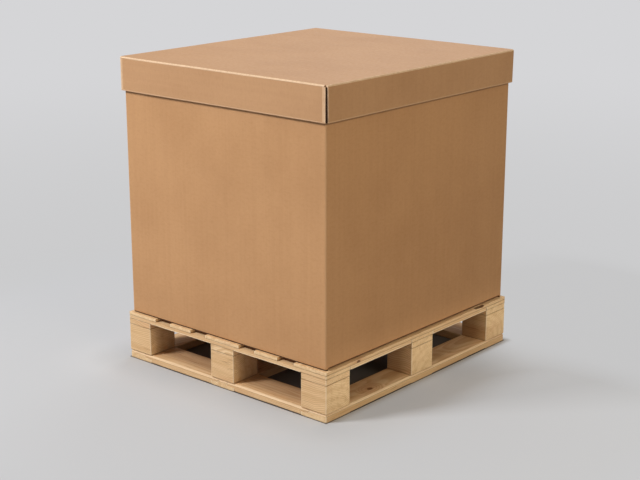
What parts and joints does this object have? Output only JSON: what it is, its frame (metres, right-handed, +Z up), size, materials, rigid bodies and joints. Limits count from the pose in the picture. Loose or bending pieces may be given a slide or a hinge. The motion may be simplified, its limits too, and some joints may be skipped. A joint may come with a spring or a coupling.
{
  "type": "corrugated pallet box",
  "caption": "Tall corrugated pallet box with a lift-off lid, a folded sleeve with bottom flaps, and a light wooden block pallet with a closed ring of base boards.",
  "frame": {"origin": "middle of the footprint, on the floor", "axes": "+Z up, X along the shorter side of the pallet (the picture's left face is at -Y), Y along the longer side and along the runners and deck boards (the picture's right face is at +X)"},
  "size_m": [0.8, 0.88, 0.936],
  "materials": {
    "board_wood": "matte",
    "block_wood": "matte",
    "steel": "satin",
    "sleeve_board": "matte",
    "lid_board": "matte"
  },
  "bodies": {
    "pallet": {"deck_board_1": "board_wood", "deck_board_2": "board_wood", "deck_board_3": "board_wood", "deck_board_4": "board_wood", "deck_board_5": "board_wood", "cross_board_front": "board_wood", "cross_board_middle": "board_wood", "cross_board_back": "board_wood", "edge_strip_left_front": "board_wood", "edge_strip_left_back": "board_wood", "edge_strip_right_front": "board_wood", "edge_strip_right_back": "board_wood", "packer_front_left": "block_wood", "packer_front_middle": "block_wood", "packer_front_right": "block_wood", "packer_middle_left": "block_wood", "packer_centre": "block_wood", "packer_middle_right": "block_wood", "packer_back_left": "block_wood", "packer_back_middle": "block_wood", "packer_back_right": "block_wood", "block_front_left": "block_wood", "block_front_middle": "block_wood", "block_front_right": "block_wood", "block_middle_left": "block_wood", "block_centre": "block_wood", "block_middle_right": "block_wood", "block_back_left": "block_wood", "block_back_middle": "block_wood", "block_back_right": "block_wood", "runner_left": "board_wood", "runner_middle": "board_wood", "runner_right": "board_wood", "closing_board_front_left": "board_wood", "closing_board_front_right": "board_wood", "closing_board_back_left": "board_wood", "closing_board_back_right": "board_wood", "block_nails": "steel", "board_nails": "steel", "base_nails": "steel"},
    "sleeve": {"sleeve": "sleeve_board", "outer_flap_left": "sleeve_board", "outer_flap_right": "sleeve_board"},
    "inner_flap_front": {"inner_flap_front": "sleeve_board"},
    "inner_flap_back": {"inner_flap_back": "sleeve_board"},
    "lid": {"lid": "lid_board"}
  },
  "joints": [
    {"name": "sleeve_lift", "type": "slide", "parent": "pallet", "child": "sleeve", "axis": [0, 0, 1], "range_m": [0, 0.3]},
    {"name": "lid_lift", "type": "slide", "parent": "sleeve", "child": "lid", "axis": [0, 0, 1], "range_m": [0, 0.25]},
    {"name": "inner_flap_front_fold", "type": "hinge", "parent": "sleeve", "child": "inner_flap_front", "pos_m": [0, -0.4227, 0.162], "axis": [1, 0, 0], "range_deg": [0, 90]},
    {"name": "inner_flap_back_fold", "type": "hinge", "parent": "sleeve", "child": "inner_flap_back", "pos_m": [0, 0.4227, 0.162], "axis": [-1, 0, 0], "range_deg": [0, 90]}
  ]
}
